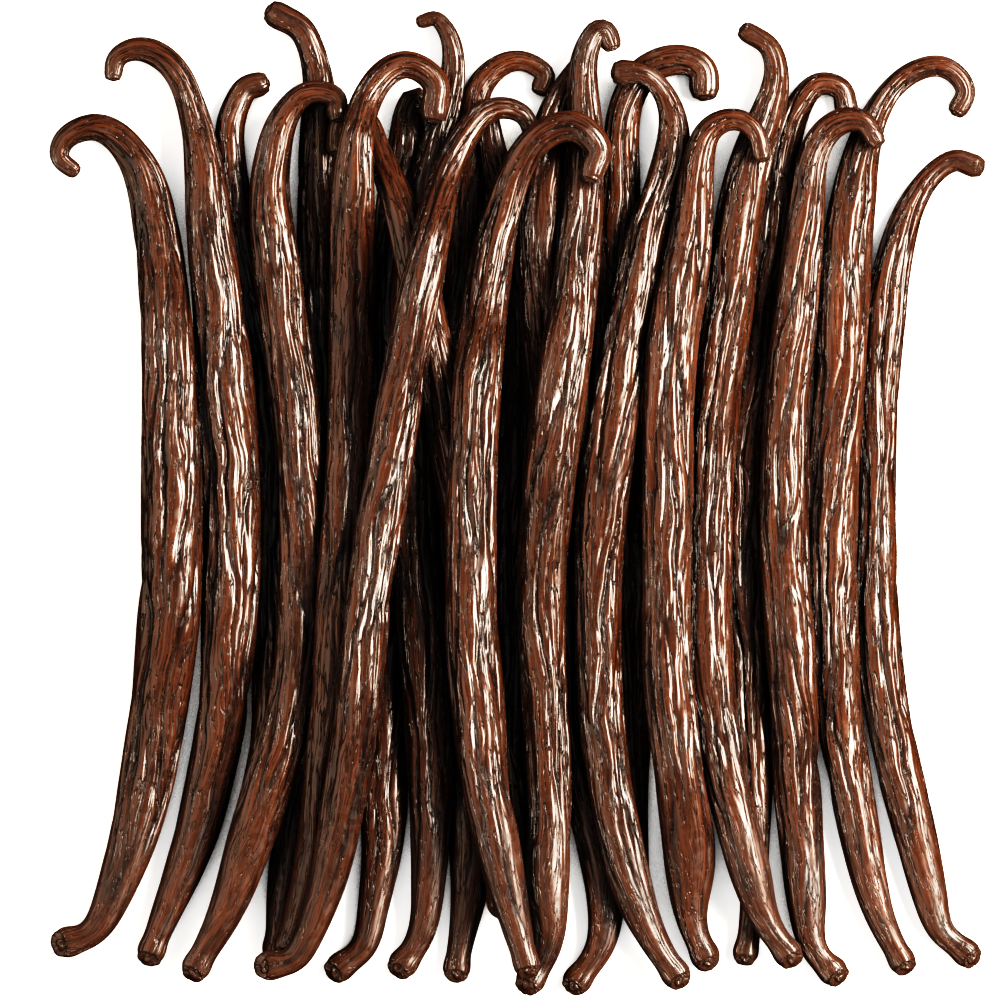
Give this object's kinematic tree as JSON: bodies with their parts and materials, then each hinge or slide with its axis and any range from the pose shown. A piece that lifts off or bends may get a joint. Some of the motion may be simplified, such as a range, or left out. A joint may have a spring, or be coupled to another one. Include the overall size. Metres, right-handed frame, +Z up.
{
  "type": "bundle of vanilla pods",
  "caption": "Loose bundle of long, slim, wrinkled dark brown vanilla pods with hooked tips, lying side by side and over each other.",
  "frame": {"origin": "on the surface that the bundle lies on, under the middle of its bounding box", "axes": "+Y along the pods, from their stalk ends towards their hooked tips; +X across the row of pods; +Z up, away from the surface"},
  "size_m": [0.1678, 0.1776, 0.0261],
  "materials": {
    "vanilla_pod_skin": "oily, finely wrinkled dark brown cured skin"
  },
  "bodies": {
    "root": {"pod_01": "vanilla_pod_skin", "pod_02": "vanilla_pod_skin", "pod_03": "vanilla_pod_skin", "pod_04": "vanilla_pod_skin", "pod_05": "vanilla_pod_skin", "pod_06": "vanilla_pod_skin", "pod_07": "vanilla_pod_skin", "pod_08": "vanilla_pod_skin", "pod_09": "vanilla_pod_skin", "pod_10": "vanilla_pod_skin", "pod_11": "vanilla_pod_skin", "pod_12": "vanilla_pod_skin", "pod_13": "vanilla_pod_skin", "pod_14": "vanilla_pod_skin", "pod_15": "vanilla_pod_skin", "pod_16": "vanilla_pod_skin", "pod_17": "vanilla_pod_skin", "pod_18": "vanilla_pod_skin", "pod_19": "vanilla_pod_skin", "pod_20": "vanilla_pod_skin", "pod_21": "vanilla_pod_skin", "pod_22": "vanilla_pod_skin", "pod_23": "vanilla_pod_skin"}
  },
  "joints": []
}
